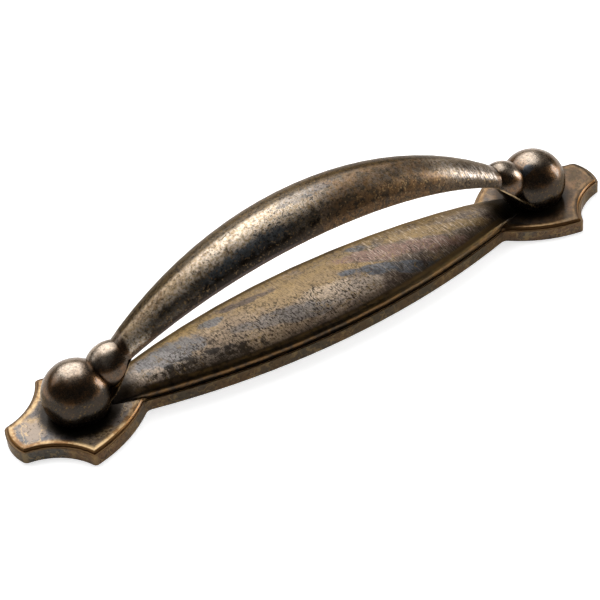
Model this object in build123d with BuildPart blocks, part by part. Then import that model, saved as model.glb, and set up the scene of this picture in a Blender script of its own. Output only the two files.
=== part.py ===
"""Bow pull for a cabinet or drawer: a cast handle on a moulded backplate.

Sizes are in millimetres. The plate's back face is the plane Z = 0 and its centre is the
origin. X runs along the handle, Z points out of the cabinet door.
"""
import os
from math import asin, cos, pi, radians, sin, sqrt, tan

from build123d import *

# Screw fixing: two machine screws come through the door and the plate into the handle's feet
screw_spacing = 96.0
thread_bore = 3.3
thread_depth = 7.2
drill_point_angle = 118.0
screw_clearance = 4.6

# Backplate outline, given by its corners from the middle or from each screw
lens_width = 20.0
neck_inboard = 10.2
neck_width = 9.7
wing_outboard = 3.2
wing_width = 23.1
wing_bulge = 1.15
tip_corner_outboard = 12.6
tip_width = 7.8
scallop_depth = 1.7
tip_outboard = 13.5
neck_round = 1.4
wing_round = 0.8
tip_round = 1.1

# Backplate moulding: a plain edge, a step with a bevelled arris, and a crowned field that
# runs out level with the pad at each end
edge_height = 2.2
step_inset = 0.5
step_rise = 0.55
crest_width = 0.25
crown_ledge = 0.12
crown_rise = 1.9
crown_side_share = 0.4
crown_shoulder_share = 0.5
crown_end_inboard = 4.6
crown_end_sharpness = 10
crown_root = 0.3
crown_sections = 8
crown_reach = 0.99

# Backplate underside: cored out behind the lens
core_rim = 2.4
core_end_inboard = 14.0
core_depth = 1.5
core_draft = 8.0
core_corner = 1.5

# Bow: a D section on an arc, widest at the parting line
bow_height = 21.9
bow_radius = 72.7
bow_width = 12.6
bow_neck_width = 6.1
bow_neck_inboard = 9.8
bow_section_height = 0.85
bow_belly = 0.28
bow_end_overlap = 1.4
bow_sections = 25

# Bead between the bow and each ball, turned about the line that the bow's end points along
bead_length = 5.4
bead_neck_radius = 2.5
bead_middle_radius = 3.95
bead_middle_at = 3.1
bead_end_radius = 3.7
bead_overlap = 0.8
bead_overlap_radius = 3.2

# Ball and foot over each screw
ball_radius = 6.15
ball_centre_height = 6.2
foot_radius = 4.3
foot_height = 0.45

# Lower half of the casting: a web runs from the bow to the ball under each bead, its top on
# the parting line, and the bead reaches down into it
web_neck_depth = 0.9
web_bead_inboard = 7.1
web_bead_width = 8.3
web_bead_depth = 2.2
web_toe_inboard = 4.0
web_toe_height = 5.8
web_toe_width = 9.5
web_toe_depth = 1.3
web_overlap = 2.4
bead_lap = 0.4

# Worked out from the sizes above
screw_x = screw_spacing / 2
neck_x = screw_x - neck_inboard
wing_x = screw_x + wing_outboard
tip_corner_x = screw_x + tip_corner_outboard
half_length = screw_x + tip_outboard
pad_top = edge_height + step_rise
lens_half = lens_width / 2
neck_half = neck_width / 2
lens_arc_radius = (neck_x**2 + (lens_half - neck_half) ** 2) / (2 * (lens_half - neck_half))
crown_end_x = screw_x - crown_end_inboard
core_end_x = screw_x - core_end_inboard
bow_centre_z = bow_height - bow_radius
bow_neck_x = screw_x - bow_neck_inboard
bow_end_x = bow_neck_x + bow_end_overlap
web_bead_x = screw_x - web_bead_inboard
web_toe_x = screw_x - web_toe_inboard

# How near a corner lies to its stated place when it is picked for rounding, and how far
# such a corner is at least from the middle line
pick_reach = 1.0


def lens_half_width(x):
    """Half the lens's width at x, on its circular edge."""
    return lens_half - lens_arc_radius + sqrt(lens_arc_radius**2 - x**2)


def bow_half_width(x):
    """Half the bow's width at x: it narrows faster towards the necks."""
    return bow_width / 2 - (bow_width - bow_neck_width) / 2 * (x / bow_neck_x) ** 2


def bow_height_at(x):
    """Height of the bow's arc at x, where its section is widest."""
    return bow_centre_z + sqrt(bow_radius**2 - x**2)


def along_bow(x):
    """Direction of the bow's arc at x."""
    lean = asin(x / bow_radius)
    return (cos(lean), 0, -sin(lean))


def cross_plane(x, z, facing=(1, 0, 0)):
    """Plane across the handle at x and z, with its own X along +Y."""
    return Plane(origin=(x, 0, z), x_dir=(0, 1, 0), z_dir=facing)


def side_plane(x, z, along=(1, 0, 0)):
    """Plane Y = 0 with its own X pointing along the given direction."""
    return Plane(origin=(x, 0, z), x_dir=along, z_dir=(0, -1, 0))


def round_corners(sketch, inset=0):
    """Rounds the plate's corners, on its outline or on one that lies inside it."""
    rounds = (
        (neck_x, neck_round + inset),
        (wing_x, wing_round - inset),
        (tip_corner_x, tip_round - inset),
    )
    for x, radius in rounds:
        near = [v for v in sketch.vertices() if abs(abs(v.X) - x) < pick_reach]
        corners = [v for v in near if abs(v.Y) > pick_reach]
        fillet(corners, radius=radius)


# Plan outline of the backplate, with its corners still sharp
with BuildSketch() as plate_outline:
    with BuildLine():
        TangentArc((0, -lens_half), (neck_x, -neck_half), tangent=(1, 0))
        SagittaArc((neck_x, -neck_half), (wing_x, -wing_width / 2), -wing_bulge)
        SagittaArc((wing_x, -wing_width / 2), (tip_corner_x, -tip_width / 2), scallop_depth)
        TangentArc((half_length, 0), (tip_corner_x, -tip_width / 2), tangent=(0, -1))
        mirror(about=Plane.YZ)
        mirror(about=Plane.XZ)
    make_face()

# Backplate: edge slab, step, crowned lens, cored back and screw holes
with BuildPart() as backplate:
    with BuildSketch() as edge_outline:
        add(plate_outline.sketch)
        round_corners(edge_outline)
    extrude(amount=edge_height)
    with BuildSketch(Plane.XY.offset(edge_height)) as step_outline:
        add(plate_outline.sketch)
        offset(amount=-step_inset, kind=Kind.INTERSECTION, mode=Mode.REPLACE)
        round_corners(step_outline, inset=step_inset)
    extrude(amount=step_rise)
    step_top = backplate.faces().sort_by(Axis.Z)[-1]
    chamfer(step_top.edges(), length=crest_width)

    for section in range(-crown_sections, crown_sections + 1):
        x = crown_end_x * crown_reach * sin(section / crown_sections * pi / 2)
        half_width = lens_half_width(x) - step_inset - crown_ledge
        rise = crown_rise * (1 - (abs(x) / crown_end_x) ** crown_end_sharpness)
        side = rise * crown_side_share
        with BuildSketch(cross_plane(x, pad_top)) as crown_section:
            with BuildLine():
                ThreePointArc((half_width, side), (0, rise), (-half_width, side))
                Polyline(
                    (-half_width, side),
                    (-half_width, -crown_root),
                    (half_width, -crown_root),
                    (half_width, side),
                )
            make_face()
            shoulders = crown_section.vertices().group_by(Axis.Y)[-1]
            fillet(shoulders, radius=rise * crown_shoulder_share)
    loft(ruled=True)

    core_end_half = lens_half_width(core_end_x) - core_rim
    with BuildSketch() as core_outline:
        with BuildLine():
            ThreePointArc(
                (-core_end_x, -core_end_half),
                (0, core_rim - lens_half),
                (core_end_x, -core_end_half),
            )
            Line((core_end_x, -core_end_half), (core_end_x, 0))
            Line((-core_end_x, -core_end_half), (-core_end_x, 0))
            mirror(about=Plane.XZ)
        make_face()
        ends = core_outline.vertices().filter_by(lambda corner: abs(corner.Y) > core_end_half / 2)
        fillet(ends, radius=core_corner)
    extrude(amount=core_depth, taper=core_draft, mode=Mode.SUBTRACT)

    with GridLocations(screw_spacing, 0, 2, 1):
        Hole(radius=screw_clearance / 2)

# Bead: turned about the line that the bow's end points along, and cut off inside the web,
# a lap below the parting line
neck_height = bow_height_at(bow_neck_x)
bead_direction = along_bow(bow_neck_x)
parting_run = web_toe_x - bow_neck_x
parting_fall = neck_height - web_toe_height
web_bead_height = neck_height - parting_fall * (web_bead_x - bow_neck_x) / parting_run
with BuildPart() as bead:
    with BuildSketch(side_plane(bow_neck_x, neck_height, bead_direction)):
        with BuildLine():
            ThreePointArc(
                (0, bead_neck_radius),
                (bead_middle_at, bead_middle_radius),
                (bead_length, bead_end_radius),
            )
            Polyline(
                (bead_length, bead_end_radius),
                (bead_length + bead_overlap, bead_overlap_radius),
                (bead_length + bead_overlap, 0),
                (0, 0),
                (0, bead_neck_radius),
            )
        make_face()
    revolve(axis=Axis((bow_neck_x, 0, neck_height), bead_direction))
    bead_floor = web_toe_height - bead_lap
    floor_plane = Plane(origin=(web_toe_x, 0, bead_floor), z_dir=(parting_fall, 0, parting_run))
    split(bisect_by=floor_plane, keep=Keep.TOP)

# One end of the handle: ball and foot, bead, web and blind threaded bore
with BuildPart() as handle_end:
    foot_top = pad_top + foot_height
    ball_top = ball_centre_height + ball_radius
    ball_cut_radius = sqrt(ball_radius**2 - (ball_centre_height - foot_top) ** 2)
    with BuildSketch(side_plane(screw_x, 0)):
        with BuildLine():
            Polyline(
                (0, ball_top),
                (0, pad_top),
                (foot_radius, pad_top),
                (foot_radius, foot_top),
                (ball_cut_radius, foot_top),
            )
            ThreePointArc(
                (ball_cut_radius, foot_top), (ball_radius, ball_centre_height), (0, ball_top)
            )
        make_face()
    revolve(axis=Axis((screw_x, 0, 0), (0, 0, 1)))
    add(bead.part)

    web_stations = (
        (bow_neck_x, neck_height, bow_neck_width, web_neck_depth),
        (web_bead_x, web_bead_height, web_bead_width, web_bead_depth),
        (web_toe_x, web_toe_height, web_toe_width, web_toe_depth),
        (web_toe_x + web_overlap, web_toe_height, web_toe_width, web_toe_depth),
    )
    for x, top, width, depth in web_stations:
        with BuildSketch(cross_plane(x, top)):
            with BuildLine():
                EllipticalCenterArc((0, 0), width / 2, depth, start_angle=180, arc_size=180)
                Line((-width / 2, 0), (width / 2, 0))
            make_face()
    loft()

    with Locations(Plane(origin=(screw_x, 0, pad_top), z_dir=(0, 0, -1))):
        Hole(radius=thread_bore / 2, depth=thread_depth)
    drill_point = thread_bore / 2 / tan(radians(drill_point_angle / 2))
    with BuildSketch(side_plane(screw_x, pad_top + thread_depth)):
        Polygon((0, 0), (thread_bore / 2, 0), (0, drill_point), align=None)
    revolve(axis=Axis((screw_x, 0, 0), (0, 0, 1)), mode=Mode.SUBTRACT)

# Handle: the bow lofted through sections square to its arc, and an end at each side
with BuildPart() as handle:
    for section in range(bow_sections):
        x = bow_end_x * (2 * section / (bow_sections - 1) - 1)
        half_width = bow_half_width(x)
        with BuildSketch(cross_plane(x, bow_height_at(x), along_bow(x))):
            with BuildLine():
                height = bow_section_height * half_width
                EllipticalCenterArc((0, 0), half_width, height, arc_size=180)
                ThreePointArc((-half_width, 0), (0, -bow_belly * half_width), (half_width, 0))
            make_face()
    loft(ruled=True)
    add(handle_end.part)
    mirror(handle_end.part, about=Plane.YZ)

os.makedirs("parts", exist_ok=True)
backplate.part.label = "backplate"
export_step(backplate.part, "parts/backplate.step")
handle.part.label = "handle"
export_step(handle.part, "parts/handle.step")
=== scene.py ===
"""Looks for the bow pull: aged bronze on a cast handle and its moulded backplate."""

from math import asin, cos, hypot, pi, radians, sin

import bpy
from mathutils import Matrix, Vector


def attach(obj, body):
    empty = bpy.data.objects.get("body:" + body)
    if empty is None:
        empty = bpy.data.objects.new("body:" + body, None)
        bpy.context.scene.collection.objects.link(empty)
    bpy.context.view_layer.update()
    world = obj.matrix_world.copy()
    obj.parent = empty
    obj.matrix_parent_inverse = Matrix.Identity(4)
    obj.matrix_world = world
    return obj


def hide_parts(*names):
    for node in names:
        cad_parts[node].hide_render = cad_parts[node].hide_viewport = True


MM = 0.001

# Backplate, in millimetres, repeated from its drawing: the corners of one quarter of its
# outline, how far its arcs bulge, the width of the ledge outside its step, and the heights of
# its plain edge and of its pads. The arc at the tip counts for TIP_REACH inboard.
SCREW_X = 48.0
LENS_HALF = 10.0
NECK = (37.8, 4.85)
WING = (51.2, 11.55)
TIP_CORNER = (60.6, 3.9)
TIP_X = 61.5
TIP_REACH = 3.5
WING_BULGE = 1.15
SCALLOP_DEPTH = 1.7
STEP_INSET = 0.5
EDGE_HEIGHT = 2.2
PAD_TOP = 2.75

# Handle, in millimetres, repeated from its drawing: the arc of the bow's widest line, the
# bow's half width at mid-span and how much less it is at the neck, the height of the balls'
# middles, and how far the parting line lies below the neck and falls from there
BOW_CENTRE_Z = -50.8
BOW_RADIUS = 72.7
BOW_HALF_WIDTH = 6.3
BOW_NARROWING = 3.25
BOW_NECK_X = 38.2
BALL_CENTRE_Z = 8.95
PARTING_SLOPE = 0.907
PARTING_DROP = 0.3

# Joining the CAD mesh's loose triangles, smoothing its skin and rounding its edges, in
# millimetres and degrees
WELD_REACH = 0.0005
FLAT_ANGLE = 0.05
SHARP_ANGLE = 40
ROUNDED_ANGLE = 28
ROUND_SEGMENTS = 3
HANDLE_EDGE_ROUND = 0.14
BACKPLATE_EDGE_ROUND = 0.17

# Clear lacquer over both finishes, and the warm sheen under it
LACQUER_ROUGHNESS = 0.16
WARM_SHEEN = (0.62, 0.53, 0.44, 1.0)

# Studio: the table's size in metres and the glow that brings it up to white, and the camera
# in metres and degrees, with its lens in millimetres
TABLE_SIZE = 8.0
TABLE_GLOW = 0.72
CAMERA_PLACE = (-0.125171, -0.232686, 0.228953)
CAMERA_TURN = (49.21484, 4.78874, -31.72014)
CAMERA_LENS = 116.215
CAMERA_SENSOR = 36


def tone(red, green, blue):
    """A display colour, 0 to 255, as the shader's linear one."""
    linear = []
    for part in (red, green, blue):
        share = part / 255
        linear.append(share / 12.92 if share <= 0.04045 else ((share + 0.055) / 1.055) ** 2.4)
    return (*linear, 1.0)


# Tones of the finish: the black of the recesses and of painted shade, browns, worn metal, the
# stains, and the grey of painted shade low on the balls
SOOT_AND_SHADE = tone(22, 17, 12)
LOW_SHADE = tone(42, 39, 35)
ASH = tone(66, 62, 56)
PATINA = tone(68, 57, 45)
UMBER = tone(97, 78, 57)
OLIVE = tone(90, 72, 42)
CHESTNUT = tone(104, 74, 46)
COPPER = tone(122, 88, 52)
STRAW = tone(190, 162, 120)
RELIEVED = tone(150, 133, 115)
BARE = tone(214, 197, 178)
SILVER = tone(208, 198, 190)
POLISHED = tone(244, 227, 207)
GOLD = tone(146, 121, 79)
ROSE = tone(130, 104, 93)
PLUM = tone(84, 74, 72)
SLATE = tone(92, 98, 106)
STEEL = tone(142, 150, 156)


class Value:
    """One number or vector in a material, so that a pattern reads as an expression."""

    def __init__(self, paint, socket):
        self.paint = paint
        self.socket = socket

    def _with(self, operation, other, swapped=False):
        first, second = (other, self) if swapped else (self, other)
        return self.paint.node("ShaderNodeMath", {"operation": operation}, {0: first, 1: second})

    def __add__(self, other):
        return self._with("ADD", other)

    def __radd__(self, other):
        return self._with("ADD", other, swapped=True)

    def __sub__(self, other):
        return self._with("SUBTRACT", other)

    def __rsub__(self, other):
        return self._with("SUBTRACT", other, swapped=True)

    def __mul__(self, other):
        return self._with("MULTIPLY", other)

    def __rmul__(self, other):
        return self._with("MULTIPLY", other, swapped=True)

    def __truediv__(self, other):
        return self._with("DIVIDE", other)

    def __pow__(self, other):
        return self._with("POWER", other)

    def __abs__(self):
        return self.paint.node("ShaderNodeMath", {"operation": "ABSOLUTE"}, {0: self})

    def greatest(self, other):
        return self._with("MAXIMUM", other)

    def least(self, other):
        return self._with("MINIMUM", other)


class Paint:
    """The nodes of a material or of the studio's surroundings."""

    def __init__(self, owner):
        owner.use_nodes = True
        self.tree = owner.node_tree

    def node(self, kind, settings, inputs, output=0):
        """Adds a node, sets it, then fills its sockets with numbers, colours or links."""
        made = self.tree.nodes.new(kind)
        for name, setting in settings.items():
            setattr(made, name, setting)
        for key, given in inputs.items():
            self.fill(made.inputs[key], given)
        return Value(self, made.outputs[output])

    def fill(self, socket, given):
        """Links a value to a socket, or sets the socket itself where nothing varies."""
        if isinstance(given, Value):
            self.tree.links.new(given.socket, socket)
        else:
            socket.default_value = given

    def outputs(self, value, *names):
        """The other outputs of the node that a value comes from."""
        return [Value(self, value.socket.node.outputs[name]) for name in names]

    def step(self, value, low, high):
        """0 up to low, 1 from high, and a smooth rise between; low may be the larger."""
        return self.node(
            "ShaderNodeMapRange",
            {"interpolation_type": "SMOOTHSTEP"},
            {"Value": value, "From Min": low, "From Max": high},
        )

    def cover(self, share, first, second):
        """Joins two shaders by share."""
        return self.node("ShaderNodeMixShader", {}, {0: share, 1: first, 2: second})


class Finish(Paint):
    """A finish under construction: the place on the piece, and ways to draw a pattern."""

    def __init__(self, name):
        self.material = bpy.data.materials.new(name)
        super().__init__(self.material)
        where = self.node("ShaderNodeTexCoord", {}, {}, output="Object")
        self.place = self.node(
            "ShaderNodeVectorMath", {"operation": "SCALE"}, {"Vector": where, "Scale": 1 / MM}
        )
        split = self.node("ShaderNodeSeparateXYZ", {}, {0: self.place})
        self.x, self.y, self.z = self.outputs(split, "X", "Y", "Z")

    def noise(self, grain, detail, rough, seed, place=None):
        """Cloudy noise from 0 to 1 whose lumps are about grain millimetres across."""
        return self.node(
            "ShaderNodeTexNoise",
            {"noise_dimensions": "4D"},
            {
                "Vector": place or self.place,
                "W": seed,
                "Scale": 1 / grain,
                "Detail": detail,
                "Roughness": rough,
            },
        )

    def turned(self, x, y, degrees):
        """Two plan distances, read along axes that are turned by so many degrees."""
        turn = radians(degrees)
        return x * cos(turn) + y * sin(turn), y * cos(turn) - x * sin(turn)

    def streaks(self, width, length, slant, seed, detail=2.0):
        """Noise drawn out across the piece, slanted by so many degrees from its own Y."""
        across, along = self.turned(self.x, self.y, slant)
        place = self.node(
            "ShaderNodeCombineXYZ",
            {},
            {0: across * (1 / width), 1: along * (1 / length), 2: self.z * (1 / length)},
        )
        return self.noise(1.0, detail=detail, rough=0.6, seed=seed, place=place)

    def blot(self, middle, reach, edge=None, slant=0.0, broken=3.2):
        """1 at its middle and 0 past its reach; an edge noise may break up its outline."""
        off_x, off_y = self.x - middle[0], self.y - middle[1]
        if slant:
            off_x, off_y = self.turned(off_x, off_y, slant)
        square = (off_x / reach[0]) ** 2 + (off_y / reach[1]) ** 2
        if edge is not None:
            square = square + (edge - 0.5) * broken
        return self.step(square, 1.15, 0.55)

    def mix(self, share, first, second):
        """A colour from first to second, by share."""
        return self.node(
            "ShaderNodeMix", {"data_type": "RGBA"}, {0: share, 6: first, 7: second}, output=2
        )

    def stain(self, colour, stain_tone, share, middle, reach, edge=None, slant=0.0):
        """A colour with a blot of one tone laid over it, by share."""
        return self.mix(self.blot(middle, reach, edge, slant) * share, colour, stain_tone)

    def finish(self, colour, roughness, metallic, lacquer, height, strength):
        """Joins the patterns to the shader; the bump's height is in millimetres."""
        bump = self.node(
            "ShaderNodeBump", {}, {"Strength": strength, "Distance": MM, "Height": height}
        )
        skin = self.tree.nodes["Principled BSDF"].inputs
        self.fill(skin["Base Color"], colour)
        self.fill(skin["Roughness"], roughness)
        self.fill(skin["Metallic"], metallic)
        self.fill(skin["Coat Weight"], lacquer)
        self.fill(skin["Coat Roughness"], LACQUER_ROUGHNESS)
        self.fill(skin["Normal"], bump)
        self.fill(skin["Specular Tint"], WARM_SHEEN)
        return self.material


def arc_centre(start, end, rise):
    """Centre and radius of the arc that bulges by rise to the left of start to end."""
    chord_x, chord_y = end[0] - start[0], end[1] - start[1]
    chord = hypot(chord_x, chord_y)
    radius = (chord**2 / 4 + rise**2) / (2 * rise)
    back = radius - rise
    middle = ((start[0] + end[0]) / 2, (start[1] + end[1]) / 2)
    return (middle[0] + chord_y / chord * back, middle[1] - chord_x / chord * back), radius


class BackplateFinish(Finish):
    """The backplate's bronze: where a point lies on it, and the patterns its parts share."""

    def __init__(self):
        super().__init__("backplate_bronze")
        self.along, self.across = abs(self.x), abs(self.y)
        self.inside = self.inside_outline()
        self.from_screw = self.from_point((SCREW_X, 0))
        self.near_end = self.step(self.along, NECK[0] - 2.0, NECK[0] + 3.5)

        self.clouds = self.noise(7.0, detail=4.0, rough=0.6, seed=1.0)
        self.mottle = self.noise(1.9, detail=5.0, rough=0.7, seed=3.0)
        self.grain = self.noise(0.5, detail=4.0, rough=0.75, seed=5.0)
        self.ragged = self.noise(1.6, detail=5.0, rough=0.72, seed=7.0)
        self.brushing = self.streaks(0.26, 2.2, 5, seed=9.0)
        self.fine_brushing = self.streaks(0.18, 1.8, 5, seed=10.0)
        self.scratches = self.streaks(0.3, 0.8, 8, seed=12.0, detail=4.0)
        rings = abs(self.noise(4.5, detail=3.0, rough=0.6, seed=14.0) - 0.5)
        self.outlines = self.step(rings, 0.014, 0.004)
        # Round each ball's foot: painted shade with dirt, which also makes the metal less metallic
        self.grime_and_ball_shade = self.step(self.from_screw + (self.mottle - 0.5) * 2.5, 8.2, 6.0)
        # Along the pads' edge: the worn crest, also painted lighter as its highlight
        self.crest = self.step(self.inside + (self.ragged - 0.5) * 0.8, 1.9, 1.2)

    def from_point(self, point):
        """Distance in plan from a point of the quarter where X and Y are above 0."""
        return ((self.along - point[0]) ** 2 + (self.across - point[1]) ** 2) ** 0.5

    def inside_outline(self):
        """Distance inside the plate's outline, from the circles that it is drawn with."""
        lens_drop = LENS_HALF - NECK[1]
        lens_radius = (NECK[0] ** 2 + lens_drop**2) / (2 * lens_drop)
        lens = lens_radius - self.from_point((0, LENS_HALF - lens_radius))
        wing_centre, wing_radius = arc_centre(NECK, WING, WING_BULGE)
        wing = wing_radius - self.from_point(wing_centre)
        scallop_centre, scallop_radius = arc_centre(TIP_CORNER, WING, SCALLOP_DEPTH)
        scallop = self.from_point(scallop_centre) - scallop_radius
        tip_depth = TIP_X - TIP_CORNER[0]
        tip_radius = (tip_depth**2 + TIP_CORNER[1] ** 2) / (2 * tip_depth)
        tip = tip_radius - self.from_point((TIP_X - tip_radius, 0))
        # The tip's circle closes again inboard, so a straight line takes over there
        tip = tip.greatest(TIP_X - TIP_REACH - self.along)
        return lens.greatest(wing.least(scallop).least(tip))


def stained_field(coat):
    """Stains on the crowned field's relieved metal, and where its dark front stain lies."""
    wavy = coat.noise(4.0, detail=2.0, rough=0.5, seed=15.0)
    ragged = coat.ragged
    colour = coat.mix(coat.step(coat.clouds * 0.4 + coat.mottle * 0.6, 0.38, 0.62), PLUM, RELIEVED)
    colour = coat.stain(colour, STRAW, 0.25, (-14.0, -1.0), (20.0, 7.0))
    colour = coat.stain(colour, BARE, 0.4, (-33.0, -1.5), (6.0, 5.0), ragged)
    colour = coat.mix(coat.step(coat.x, 2.0, 12.0) * 0.42, colour, PATINA)
    gilded = coat.step(coat.y, 1.0, 5.0) * coat.step(ragged, 0.34, 0.56)
    colour = coat.mix(gilded * 0.75, colour, GOLD)
    colour = coat.stain(colour, GOLD, 0.5, (-1.0, 2.0), (12.0, 3.4), ragged)
    colour = coat.stain(colour, BARE, 0.32, (3.5, -3.0), (9.0, 2.8), ragged, slant=-14)
    colour = coat.stain(colour, GOLD, 0.6, (-25.0, 4.4), (5.5, 1.5), ragged)
    colour = coat.stain(colour, GOLD, 0.62, (26.0, 1.2), (10.0, 1.6), wavy, slant=-20)
    colour = coat.stain(colour, ROSE, 0.85, (18.0, 0.2), (14.0, 2.1), wavy, slant=-22)
    colour = coat.stain(colour, GOLD, 0.8, (9.5, 0.8), (8.0, 0.9), wavy, slant=-33)
    colour = coat.stain(colour, SLATE, 0.8, (12.8, 5.2), (3.2, 1.0), wavy, slant=-25)
    colour = coat.stain(colour, SLATE, 0.75, (-19.7, 3.7), (2.4, 1.3), ragged)
    colour = coat.stain(colour, PLUM, 0.8, (-13.0, 5.3), (7.0, 1.0), wavy, slant=-3)
    colour = coat.stain(colour, SLATE, 0.7, (-29.5, 1.0), (7.5, 3.2), ragged)
    colour = coat.stain(colour, SLATE, 0.5, (-7.5, -3.0), (10.0, 2.0), wavy, slant=-14)
    dark_front = coat.blot((15.5, -3.8), (10.5, 1.5), wavy, slant=-25)
    sooty_slate = coat.mix(coat.step(coat.mottle, 0.3, 0.6), SOOT_AND_SHADE, SLATE)
    colour = coat.mix(dark_front * 0.9, colour, sooty_slate)
    soot_left = coat.blot((-25.0, -4.4), (10.0, 2.3), ragged, slant=-9)
    colour = coat.mix(soot_left * 0.5, colour, coat.mix(coat.mottle, SOOT_AND_SHADE, SLATE))
    colour = coat.mix(soot_left * coat.step(ragged, 0.54, 0.47) * 0.85, colour, SOOT_AND_SHADE)
    return colour, dark_front


def field_bronze(coat):
    """The crowned field: stains, then specks, scratches and brush marks, with painted shade near
    its ends under the beads and balls.
    """
    colour, dark_front = stained_field(coat)
    dust = coat.step(coat.noise(0.34, detail=2.0, rough=0.6, seed=8.0), 0.4, 0.6)
    far_side = coat.step(coat.y, -2.0, 2.0)
    right_side = coat.step(coat.x, 5.0, 14.0)
    outline_tone = coat.mix(coat.step(coat.clouds, 0.45, 0.55), SOOT_AND_SHADE, GOLD)
    colour = coat.mix(coat.outlines * 0.6, colour, outline_tone)
    specks = coat.step(coat.grain, 0.46, 0.4) * (0.8 - 0.4 * far_side) * (1 - 0.45 * right_side)
    colour = coat.mix(specks, colour, SOOT_AND_SHADE)
    scratched = coat.blot((-12.0, -3.0), (24.0, 5.0), coat.ragged).greatest(0.45)
    colour = coat.mix(coat.step(coat.scratches, 0.48, 0.41) * 0.9 * scratched, colour, SOOT_AND_SHADE)
    colour = coat.mix(coat.step(coat.brushing, 0.5, 0.34) * 0.5, colour, PATINA)
    bright_marks = coat.step(coat.fine_brushing, 0.54, 0.66) * right_side
    colour = coat.mix(bright_marks * (0.42 - 0.2 * dark_front), colour, BARE)
    colour = coat.mix((1 - dust) * (0.3 - 0.12 * far_side), colour, SOOT_AND_SHADE)
    front_edge = coat.step(coat.inside, 3.6, 2.0) * coat.step(coat.y, 1.0, -4.0)
    colour = coat.mix(front_edge * 0.45, colour, PATINA)
    # Painted shade towards the ends, black where the field runs in under the beads and balls
    colour = coat.mix(coat.near_end * 0.75, colour, PATINA)
    throat_shade = coat.step(coat.from_point((SCREW_X - 4.0, 0)), 8.0, 4.5)
    return coat.mix(throat_shade * 0.9, colour, SOOT_AND_SHADE)


def shoulder_bronze(coat):
    """The shoulder beside the field: smooth and olive, with a coppery arris."""
    colour = coat.mix(coat.step(coat.mottle, 0.35, 0.65), PATINA, OLIVE)
    colour = coat.mix(coat.step(coat.ragged, 0.5, 0.4) * 0.5, colour, SOOT_AND_SHADE)
    colour = coat.mix(coat.step(coat.x, 6.0, 18.0) * 0.4, colour, GOLD)
    arris = coat.mix(coat.step(coat.mottle, 0.4, 0.58), PATINA, COPPER)
    return coat.mix(coat.step(coat.inside, 0.88, 0.74) * 0.6, colour, arris)


def wall_bronze(coat):
    """The outer wall: brown and ashen, with brass where the plating has rubbed through."""
    brown = coat.mix(coat.mottle, PATINA, CHESTNUT)
    colour = coat.mix(coat.step(coat.clouds, 0.4, 0.6), ASH, brown)
    sooty_olive = coat.mix(coat.mottle, SOOT_AND_SHADE, OLIVE)
    colour = coat.mix(coat.step(coat.along, 46.0, 30.0) * 0.5, colour, sooty_olive)
    colour = coat.mix(coat.step(coat.grain, 0.5, 0.36) * 0.6, colour, SOOT_AND_SHADE)
    from_corner = coat.from_point(WING).least(coat.from_point(TIP_CORNER))
    rubbed = coat.step(coat.ragged, 0.54, 0.62).greatest(coat.outlines)
    rubbed = rubbed.greatest(coat.step(from_corner, 0.9, 0.3))
    return coat.mix(rubbed * 0.3, colour, GOLD)


def pad_bronze(coat):
    """The pads: stained and worn, with painted shade and dirt round the balls' feet, brightest on
    the crest, which is worn and painted lighter as its highlight, and coppery where it rolls down.
    """
    colour = coat.mix(coat.step(coat.mottle, 0.35, 0.65), UMBER, RELIEVED)
    colour = coat.mix(coat.step(coat.ragged, 0.5, 0.6) * 0.45, colour, GOLD)
    colour = coat.mix(coat.step(coat.clouds, 0.55, 0.45) * 0.5, colour, SLATE)
    left_pad = coat.step(coat.x, -48.0, -52.0)
    colour = coat.mix(left_pad * coat.step(coat.mottle, 0.6, 0.4) * 0.5, colour, SLATE)
    colour = coat.stain(colour, RELIEVED, 0.6, (-57.0, -0.3), (2.4, 2.6), coat.ragged)
    colour = coat.mix(coat.outlines * 0.5, colour, STRAW)
    colour = coat.mix(coat.step(coat.grain, 0.45, 0.38) * 0.7, colour, SOOT_AND_SHADE)
    # Painted shade round each ball's foot, with dirt
    colour = coat.mix(coat.grime_and_ball_shade * 0.95, colour, SOOT_AND_SHADE)
    # The crest worn bright, and painted lighter as the highlight along it
    crest = coat.mix(coat.step(coat.mottle * 0.6 + coat.clouds * 0.4, 0.42, 0.58), COPPER, STRAW)
    colour = coat.mix(coat.crest * 0.85, colour, crest)
    rusty = coat.mix(coat.step(coat.mottle, 0.4, 0.6), PATINA, CHESTNUT)
    colour = coat.mix(coat.step(coat.x, 30.0, 50.0) * 0.75, colour, rusty)
    return coat.mix(coat.step(coat.inside, 0.9, 0.65), colour, COPPER)


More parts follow.
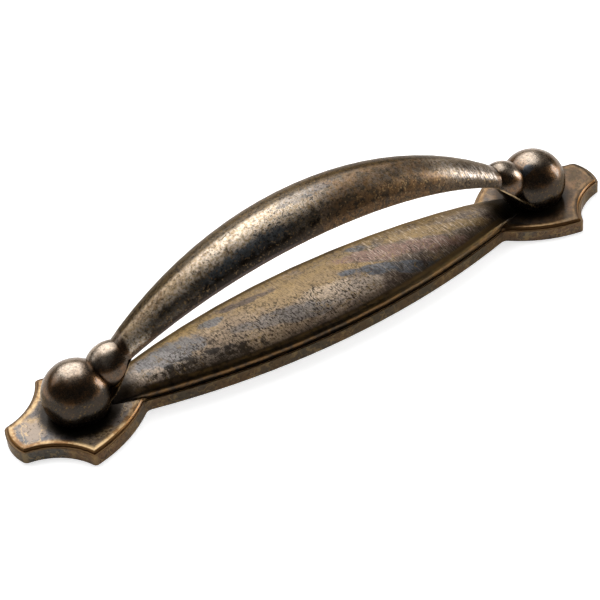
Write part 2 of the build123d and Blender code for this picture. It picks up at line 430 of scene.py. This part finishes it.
def backplate_bronze():
    """The backplate's material: field, pads, shoulder, ledge and wall, each in its place."""
    coat = BackplateFinish()
    below_ledge = coat.step(coat.z, EDGE_HEIGHT + 0.1, EDGE_HEIGHT - 0.1)
    on_wall = coat.step(coat.inside, 0.3, 0.1) * below_ledge
    on_crown = coat.step(coat.z, PAD_TOP + 0.02, PAD_TOP + 0.25)
    shoulder = coat.step(coat.inside, 2.3, 1.7) * (1 - coat.near_end)
    corner = coat.step(abs(coat.inside - STEP_INSET), 0.14, 0.05)
    ledge = coat.step(coat.inside, 0.45, 0.3) * (1 - on_wall)

    colour = coat.mix(on_crown, pad_bronze(coat), field_bronze(coat))
    colour = coat.mix(shoulder, colour, shoulder_bronze(coat))
    colour = coat.mix(corner * (0.8 - 0.5 * coat.near_end), colour, SOOT_AND_SHADE)
    coppery = coat.mix(coat.mottle, COPPER, STRAW)
    colour = coat.mix(ledge * (0.5 + 0.5 * coat.mottle), colour, coppery)
    colour = coat.mix(on_wall, colour, wall_bronze(coat))
    # Painted shadow of each ball on the plate round its foot
    colour = coat.mix(coat.step(coat.from_screw, 8.0, 5.8) * 0.9, colour, SOOT_AND_SHADE)

    field = on_crown * (1 - shoulder)
    roughness = 0.3 + 0.2 * coat.mottle + 0.08 * field - 0.08 * coat.crest + 0.35 * ledge
    roll = ((1.5 - coat.inside) * 1.25).greatest(0.0) ** 2 * -0.17 * coat.near_end
    marks = coat.scratches * 0.06 + coat.brushing * 0.05 + coat.fine_brushing * 0.025
    height = coat.grain * 0.07 + coat.mottle * 0.05 + marks * field + roll
    metallic = 0.95 - 0.25 * coat.grime_and_ball_shade - 0.35 * ledge
    return coat.finish(colour, roughness, metallic, lacquer=0.15, height=height, strength=0.8)


class HandleFinish(Finish):
    """The handle's bronze: where a point lies on it, and the patterns its parts share."""

    def __init__(self):
        super().__init__("handle_bronze")
        self.along = abs(self.x)
        bow_z = (BOW_RADIUS**2 - self.x * self.x) ** 0.5 + BOW_CENTRE_Z
        half = BOW_HALF_WIDTH - BOW_NARROWING / BOW_NECK_X**2 * (self.x * self.x)
        # Across the bow and up from its widest line, as shares of its half width there
        self.side = self.y / half
        self.up = (self.z - bow_z) / half

        self.mottle = self.noise(1.8, detail=5.0, rough=0.7, seed=23.0)
        self.grain = self.noise(0.45, detail=4.0, rough=0.75, seed=25.0)
        self.ragged = self.noise(1.4, detail=5.0, rough=0.72, seed=27.0)
        self.flakes = self.noise(0.5, detail=4.0, rough=0.65, seed=31.0)
        self.brushing = self.streaks(0.24, 2.4, 8, seed=29.0)
        self.dust = self.step(self.noise(0.34, detail=2.0, rough=0.6, seed=28.0), 0.4, 0.6)
        self.speckled = self.step(self.grain, 0.4, 0.6)
        self.flaked = self.step(self.flakes, 0.55, 0.63)
        self.on_bow = self.step(self.along, BOW_NECK_X + 0.4, BOW_NECK_X - 0.4)
        self.worn = self.step(self.up + (self.ragged - 0.5) * 0.8, 0.25, 0.5)
        # The left end's front: coppery, and painted lighter where the highlight runs down it
        self.left_end = self.step(self.x, -18.0, -30.0) * self.step(self.side, -0.65, -0.35)
        self.right_end = self.step(self.x, 24.0, 33.0)

        # Up from the bead's own axis, from the middle of the ball and from the parting plane
        neck_slope = asin(BOW_NECK_X / BOW_RADIUS)
        neck_z = BOW_RADIUS * cos(neck_slope) + BOW_CENTRE_Z
        past_neck, above_neck = self.along - BOW_NECK_X, self.z - neck_z
        self.above_bead = past_neck * sin(neck_slope) + above_neck * cos(neck_slope)
        self.above_ball = self.z - BALL_CENTRE_Z
        self.above_parting = above_neck + PARTING_DROP + past_neck * PARTING_SLOPE
        bead_foot = self.along - self.above_bead * sin(neck_slope)
        self.on_bead = self.step(bead_foot, SCREW_X - 6.0, SCREW_X - 7.0)
        # Painted shade: the balls' lower halves, and black underneath by the foot
        lower_ball_shade = self.step(self.above_ball + (self.mottle - 0.5) * 1.2, 0.35, -0.65)
        self.lower_ball_shade = lower_ball_shade * (1 - self.on_bead)
        self.under = self.step(self.above_ball + (self.mottle - 0.5) * 1.5, -4.55, -5.75)


def stained_bow(coat):
    """The bow worn along its top, slate and black down the left front, brown at the right."""
    colour = coat.mix(coat.step(coat.mottle, 0.36, 0.66), PATINA, CHESTNUT)
    worn_top = coat.mix(coat.step(coat.mottle, 0.32, 0.5), RELIEVED, POLISHED)
    worn_top = coat.mix(coat.step(coat.flakes, 0.46, 0.54) * 0.6, worn_top, STRAW)
    worn_top = coat.mix(coat.step(coat.ragged, 0.46, 0.38) * 0.4, worn_top, UMBER)
    colour = coat.mix(coat.worn, colour, worn_top)
    front = coat.step(coat.side + (coat.ragged - 0.5) * 0.6, -0.55, -0.75)
    front = front * coat.step(coat.x, -38.0, -32.0)
    colour = coat.mix(front * 0.85, colour, coat.mix(coat.step(coat.x, -6.0, 6.0), SOOT_AND_SHADE, PATINA))
    brown_right = coat.step(coat.x, -4.0, 5.0) * coat.step(coat.x, 30.0, 22.0)
    brown = coat.mix(coat.step(coat.ragged, 0.43, 0.56), PATINA, COPPER)
    colour = coat.mix(brown_right * 0.8, colour, brown)
    colour = coat.mix(brown_right * coat.step(coat.up, 0.8, 0.4) * 0.35, colour, SOOT_AND_SHADE)
    slate_top = coat.step(coat.up + (coat.ragged - 0.5) * 0.5, 0.35, 0.75)
    slate = coat.mix(slate_top * 0.8, SOOT_AND_SHADE, STEEL)
    colour = coat.stain(colour, slate, 0.9, (-16.0, -5.1), (10.5, 1.8), coat.ragged)
    freckled = coat.blot((-5.0, -3.2), (8.0, 3.0), coat.ragged) * coat.step(coat.flakes, 0.47, 0.4)
    colour = coat.mix(freckled * 0.75, colour, SOOT_AND_SHADE)
    return coat.stain(colour, SLATE, 0.55, (-1.5, -0.6), (6.5, 1.4), coat.ragged)


def bow_bronze(coat):
    """The bow: its stains, coppery left end painted lighter as its highlight, brushed right end
    with a painted highlight, painted shade on its far side, flecks, and a painted floor reflection
    low on the left front.
    """
    colour = stained_bow(coat)
    coppery = coat.mix(coat.step(coat.mottle, 0.36, 0.56), COPPER, STRAW)
    colour = coat.mix(coat.left_end * 0.6, colour, coppery)
    # Painted highlight: the right end's brushed front is bright only where the side lamp's
    # highlight falls
    painted_highlight_face = coat.step(coat.side, -0.1, -0.45) * coat.step(coat.up, 0.4, 0.62)
    brushed = coat.mix(coat.step(coat.brushing, 0.38, 0.7), PATINA, SILVER)
    colour = coat.mix(coat.right_end * 0.9, colour, coat.mix(painted_highlight_face, PATINA, brushed))
    # Painted shade along the bow's far side
    far_side = coat.step(coat.side, -0.08, 0.12)
    colour = coat.mix(far_side * 0.92, colour, coat.mix(coat.speckled * 0.8, SOOT_AND_SHADE, OLIVE))
    colour = coat.mix((1 - coat.speckled) * 0.25, colour, PATINA)
    colour = coat.mix((1 - coat.dust) * (0.4 - 0.2 * coat.worn), colour, SOOT_AND_SHADE)
    colour = coat.mix(coat.step(coat.grain, 0.46, 0.4) * (0.75 - 0.15 * coat.worn), colour, SOOT_AND_SHADE)
    flaked_low = coat.flaked * coat.step(coat.up, 0.98, 0.7)
    flaked_low = flaked_low * (0.2 + 0.45 * coat.step(coat.up, 0.2, 0.5))
    colour = coat.mix(flaked_low, colour, coat.mix(coat.mottle, COPPER, STRAW))
    # Painted reflection of the floor along the lower edge at the left
    belly = coat.step(coat.up, 0.15, 0.07) * coat.step(coat.x, 0.0, -10.0)
    colour = coat.mix(belly * 0.6, colour, PLUM)
    return coat.mix(coat.step(coat.up, 0.06, 0.0), colour, UMBER)


def ball_bronze(coat):
    """Balls and beads: brown, rubbed bare on top and painted lighter there as the highlight,
    pitted, with grey painted shade lower down and black painted shade underneath.
    """
    colour = coat.mix(coat.step(coat.mottle, 0.34, 0.66), PATINA, CHESTNUT)
    on_ball = 1 - coat.on_bead
    # Rubbed bare on top, and painted lighter where the highlight falls
    ball_top = coat.step(coat.above_ball + (coat.ragged - 0.5) * 1.2, 2.05, 3.75) * on_ball
    bead_top = coat.step(coat.above_bead + (coat.ragged - 0.5) * 0.7, 2.2, 3.5) * coat.on_bead
    colour = coat.mix(ball_top.greatest(bead_top) * 0.62, colour, BARE)
    colour = coat.mix((1 - coat.dust) * 0.3, colour, SOOT_AND_SHADE)
    colour = coat.mix(coat.step(coat.grain, 0.44, 0.37) * 0.7, colour, SOOT_AND_SHADE)
    colour = coat.mix(coat.flaked * coat.step(coat.mottle, 0.45, 0.6) * 0.4, colour, COPPER)
    smudge = coat.blot((45.3, -2.0), (1.7, 0.8), coat.ragged)
    smudge = smudge * coat.step(coat.above_ball, 0.05, 1.55)
    colour = coat.mix(smudge * 0.9, colour, coat.mix(coat.mottle, SOOT_AND_SHADE, SLATE))
    # Painted shade, grey and flecked, on the balls' lower halves
    colour = coat.mix(coat.lower_ball_shade * 0.85, colour, coat.mix(coat.flaked * 0.8, LOW_SHADE, OLIVE))
    beside_ball = coat.step(coat.along, SCREW_X - 2.5, SCREW_X - 3.5)
    # The parting line beside the ball, worn and painted light as the highlight along its edge
    seam = coat.step(abs(coat.above_parting), 0.35, 0.1) * beside_ball
    colour = coat.mix(seam * (0.3 + 0.6 * coat.mottle), colour, STRAW)
    # Painted shade, black underneath by the foot
    return coat.mix(coat.under * 0.9, colour, SOOT_AND_SHADE)


def handle_bronze():
    """The handle's material: the bow, and the beads and balls at its ends."""
    coat = HandleFinish()
    colour = coat.mix(coat.on_bow, ball_bronze(coat), bow_bronze(coat))
    bow_roughness = 0.01 + 0.16 * coat.worn * (1 - coat.right_end) + 0.1 * coat.left_end
    roughness = 0.18 + 0.16 * coat.mottle + 0.08 * (1 - coat.speckled) + bow_roughness * coat.on_bow
    height = coat.grain * (0.03 + 0.02 * coat.on_bow) + coat.mottle * (0.02 + 0.03 * coat.on_bow)
    height = height + coat.brushing * coat.right_end * 0.07
    metallic = 0.95 - 0.2 * coat.under
    lacquer = 0.5 - 0.35 * coat.on_bow - 0.35 * coat.lower_ball_shade
    return coat.finish(colour, roughness, metallic, lacquer, height, strength=0.7)


def only(piece):
    """Makes a piece the one selected and active object."""
    bpy.ops.object.select_all(action="DESELECT")
    piece.select_set(True)
    bpy.context.view_layer.objects.active = piece


def cast_copy(node, name, material, edge_round):
    """Puts a copy with joined faces, softened edges and a smooth skin in a casting's place."""
    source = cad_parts[node]
    piece = source.copy()
    piece.data = source.data.copy()
    piece.name = name
    bpy.context.collection.objects.link(piece)
    only(piece)
    bpy.ops.object.mode_set(mode="EDIT")
    bpy.ops.mesh.select_all(action="SELECT")
    bpy.ops.mesh.remove_doubles(threshold=WELD_REACH * MM)
    bpy.ops.mesh.dissolve_limited(angle_limit=radians(FLAT_ANGLE))
    bpy.ops.object.mode_set(mode="OBJECT")
    bpy.ops.mesh.customdata_custom_splitnormals_clear()
    bpy.ops.object.shade_smooth_by_angle(angle=radians(SHARP_ANGLE))
    bevel = piece.modifiers.new("edge_round", "BEVEL")
    bevel.width = edge_round * MM
    bevel.segments = ROUND_SEGMENTS
    bevel.limit_method = "ANGLE"
    bevel.angle_limit = radians(ROUNDED_ANGLE)
    bevel.use_clamp_overlap = True
    bevel.harden_normals = True
    bpy.ops.object.modifier_apply(modifier="edge_round")
    piece.data.materials.clear()
    piece.data.materials.append(material)
    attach(piece, "root")
    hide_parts(node)


def table():
    """A plain white table that stays white to the eye and in reflections, and takes a shadow."""
    bpy.ops.object.select_all(action="DESELECT")
    bpy.ops.mesh.primitive_plane_add(size=TABLE_SIZE, location=(0, 0, 0))
    top = bpy.context.object
    top.name = "table"
    white = bpy.data.materials.new("white_table")
    paint = Paint(white)
    matt = paint.tree.nodes["Principled BSDF"]
    paint.fill(matt.inputs["Base Color"], (0.9, 0.9, 0.9, 1.0))
    paint.fill(matt.inputs["Roughness"], 0.9)
    paint.fill(matt.inputs["Specular IOR Level"], 0.0)
    lit = Value(paint, matt.outputs[0])
    glow = paint.node("ShaderNodeEmission", {}, {"Strength": TABLE_GLOW})
    bright = paint.node("ShaderNodeAddShader", {}, {0: lit, 1: glow})
    seen = paint.node("ShaderNodeLightPath", {}, {}, output="Is Camera Ray")
    mirrored, seen_through = paint.outputs(seen, "Is Glossy Ray", "Is Transmission Ray")
    in_sight = seen.greatest(mirrored).greatest(seen_through)
    skin = paint.tree.nodes["Material Output"].inputs["Surface"]
    paint.fill(skin, paint.cover(in_sight, lit, bright))
    top.data.materials.append(white)


def studio():
    """White around the horizon, dark overhead."""
    world = bpy.data.worlds.new("studio")
    bpy.context.scene.world = world
    paint = Paint(world)
    where = paint.node("ShaderNodeTexCoord", {}, {}, output="Generated")
    split = paint.node("ShaderNodeSeparateXYZ", {}, {0: where})
    (rise,) = paint.outputs(split, "Z")
    white = paint.node("ShaderNodeBackground", {}, {"Color": (1.0, 1.0, 1.0, 1.0)})
    dark = paint.node("ShaderNodeBackground", {}, {"Color": (0.05, 0.05, 0.05, 1.0)})
    overhead = paint.step(rise, 0.02, 0.13)
    surroundings = paint.tree.nodes["World Output"].inputs["Surface"]
    paint.fill(surroundings, paint.cover(overhead, white, dark))


def softbox(name, azimuth, elevation, distance, width, height, brightness):
    """A soft rectangular lamp, placed by its direction, whose face has the given brightness."""
    lamp = bpy.data.lights.new(name, "AREA")
    lamp.shape = "RECTANGLE"
    lamp.size = width
    lamp.size_y = height
    lamp.energy = brightness * pi * width * height
    holder = bpy.data.objects.new(name, lamp)
    bpy.context.collection.objects.link(holder)
    turn, rise = radians(azimuth), radians(elevation)
    towards = Vector((sin(turn) * cos(rise), cos(turn) * cos(rise), sin(rise)))
    holder.location = towards * distance
    holder.rotation_euler = towards.to_track_quat("Z", "Y").to_euler()


def set_camera():
    """Looks down on the pull from in front of its left end."""
    lens = bpy.data.cameras.new("camera")
    lens.sensor_width = CAMERA_SENSOR
    lens.lens = CAMERA_LENS
    camera = bpy.data.objects.new("camera", lens)
    camera.location = CAMERA_PLACE
    camera.rotation_euler = [radians(turn) for turn in CAMERA_TURN]
    bpy.context.collection.objects.link(camera)
    bpy.context.scene.camera = camera


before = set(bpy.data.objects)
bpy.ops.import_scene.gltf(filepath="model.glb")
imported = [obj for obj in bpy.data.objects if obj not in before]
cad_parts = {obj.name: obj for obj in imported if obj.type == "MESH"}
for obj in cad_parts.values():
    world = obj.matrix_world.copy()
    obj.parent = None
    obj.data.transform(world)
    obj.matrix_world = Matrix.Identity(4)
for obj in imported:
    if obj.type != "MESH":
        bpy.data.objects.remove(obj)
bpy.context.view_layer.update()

cast_copy("handle", "cast_handle", handle_bronze(), HANDLE_EDGE_ROUND)
cast_copy("backplate", "cast_backplate", backplate_bronze(), BACKPLATE_EDGE_ROUND)

table()
studio()
softbox("key_softbox", 14, 51, distance=0.95, width=0.9, height=1.05, brightness=3.2)
softbox("side_strip", 103, 9, distance=0.8, width=0.26, height=0.5, brightness=9.5)
softbox("left_softbox", -38, 33, distance=1.0, width=0.5, height=0.42, brightness=1.5)
set_camera()
bpy.context.scene.view_settings.view_transform = "Standard"
